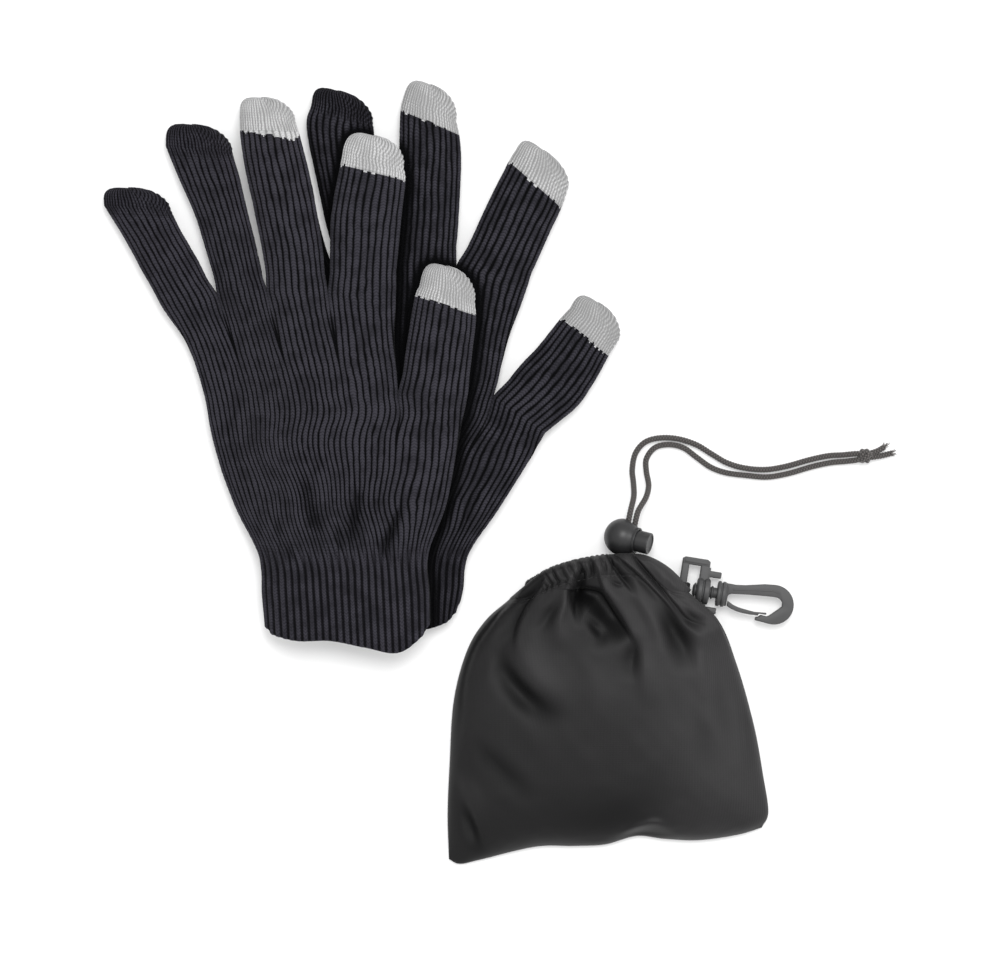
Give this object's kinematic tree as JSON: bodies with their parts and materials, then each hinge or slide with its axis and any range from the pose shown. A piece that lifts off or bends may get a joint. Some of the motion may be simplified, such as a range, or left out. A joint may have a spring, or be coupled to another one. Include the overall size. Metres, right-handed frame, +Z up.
{
  "type": "touchscreen gloves",
  "caption": "Pair of stretch-knit touchscreen gloves with grey conductive fingertips, and their drawstring pouch with a cord lock and a swivel snap hook.",
  "frame": {"origin": "middle of the pair and the pouch seen from above, on the surface they lie on", "axes": "+X across the hands from the stacked pair's little fingers towards the clip, +Y along the fingers away from the cuffs, +Z up"},
  "size_m": [0.2976, 0.2941, 0.0247],
  "materials": {
    "black_knit": "ribbed stretch knit",
    "grey_touch_yarn": "heather knit",
    "pouch_cloth": "satin weave",
    "black_cord": "braid",
    "black_plastic": "fine texture",
    "grey_plastic": "moulded satin",
    "spring_steel": "wire"
  },
  "bodies": {
    "right_glove": {"right_palm": "black_knit", "right_cuff": "black_knit", "right_little_finger": "black_knit", "right_ring_finger": "black_knit", "right_middle_finger": "black_knit", "right_middle_finger_touch_tip": "grey_touch_yarn"},
    "right_index": {"right_index_finger": "black_knit", "right_index_finger_touch_tip": "grey_touch_yarn"},
    "right_thumb": {"right_thumb": "black_knit", "right_thumb_touch_tip": "grey_touch_yarn"},
    "left_glove": {"left_palm": "black_knit", "left_cuff": "black_knit"},
    "left_little": {"left_little_finger": "black_knit"},
    "left_ring": {"left_ring_finger": "black_knit"},
    "left_middle": {"left_middle_finger": "black_knit", "left_middle_finger_touch_tip": "grey_touch_yarn"},
    "left_index": {"left_index_finger": "black_knit", "left_index_finger_touch_tip": "grey_touch_yarn"},
    "left_thumb": {"left_thumb": "black_knit", "left_thumb_touch_tip": "grey_touch_yarn"},
    "pouch": {"pouch_back": "pouch_cloth", "pouch_front": "pouch_cloth", "pouch_mouth_channel": "pouch_cloth", "drawcord_loop": "black_cord", "drawcord_strand_left": "black_cord", "drawcord_strand_right": "black_cord", "drawcord_knot": "black_cord", "clip_tab": "pouch_cloth"},
    "cord_lock": {"cord_lock_barrel": "black_plastic", "cord_lock_spring": "spring_steel"},
    "lock_button": {"cord_lock_plunger": "black_plastic"},
    "clip_frame": {"clip_frame": "grey_plastic"},
    "clip_hook": {"clip_hook": "grey_plastic"},
    "clip_gate": {"clip_gate": "grey_plastic"}
  },
  "joints": [
    {"name": "left_glove_lift", "type": "slide", "parent": "right_glove", "child": "left_glove", "axis": [0, 0, 1], "range_m": [0, 0.08]},
    {"name": "left_little_flex", "type": "hinge", "parent": "left_glove", "child": "left_little", "pos_m": [-0.09875, 0.064, 0.0104], "axis": [0.9831, 0.1829, 0], "range_deg": [0, 60]},
    {"name": "left_ring_flex", "type": "hinge", "parent": "left_glove", "child": "left_ring", "pos_m": [-0.0785, 0.0665, 0.01574], "axis": [0.9986, 0.0526, 0], "range_deg": [0, 60]},
    {"name": "left_middle_flex", "type": "hinge", "parent": "left_glove", "child": "left_middle", "pos_m": [-0.0575, 0.06675, 0.02246], "axis": [0.9998, -0.0217, 0], "range_deg": [0, 60]},
    {"name": "left_index_flex", "type": "hinge", "parent": "left_glove", "child": "left_index", "pos_m": [-0.03325, 0.06675, 0.02246], "axis": [0.9998, 0.0196, 0], "range_deg": [0, 60]},
    {"name": "left_thumb_flex", "type": "hinge", "parent": "left_glove", "child": "left_thumb", "pos_m": [-0.00635, 0.029, 0.0231], "axis": [1, 0, 0], "range_deg": [0, 60]},
    {"name": "right_index_flex", "type": "hinge", "parent": "right_glove", "child": "right_index", "pos_m": [0.01525, 0.0735, 0.0104], "axis": [0.9469, -0.3216, 0], "range_deg": [0, 60]},
    {"name": "right_thumb_flex", "type": "hinge", "parent": "right_glove", "child": "right_thumb", "pos_m": [0.026, 0.0215, 0.0104], "axis": [0.8192, -0.5735, 0], "range_deg": [0, 60]},
    {"name": "pouch_lift", "type": "slide", "parent": "right_glove", "child": "pouch", "axis": [0, 0, 1], "range_m": [0, 0.08]},
    {"name": "cord_lock_slide", "type": "slide", "parent": "pouch", "child": "cord_lock", "axis": [0.1961, 0.9806, 0], "range_m": [0, 0.0045]},
    {"name": "lock_button_press", "type": "slide", "parent": "cord_lock", "child": "lock_button", "axis": [-0.9118, 0.2273, -0.342], "range_m": [0, 0.002], "stiffness_N_per_m": 400, "springref_m": -0.002, "deforming": ["cord_lock_spring"]},
    {"name": "clip_hang", "type": "hinge", "parent": "pouch", "child": "clip_frame", "pos_m": [0.0869, -0.04779, 0.0052], "axis": [0.1564, 0.9877, 0], "range_deg": [0, 55]},
    {"name": "hook_swivel", "type": "hinge", "parent": "clip_frame", "child": "clip_hook", "pos_m": [0.098, -0.0455, 0.0052], "axis": [0.9877, -0.1564, 0], "continuous": true},
    {"name": "gate_open", "type": "hinge", "parent": "clip_hook", "child": "clip_gate", "pos_m": [0.10482, -0.04881, 0.0052], "axis": [0, 0, 1], "range_deg": [0, 20], "stiffness_Nm_per_rad": 0.02, "springref_deg": -11.46}
  ]
}
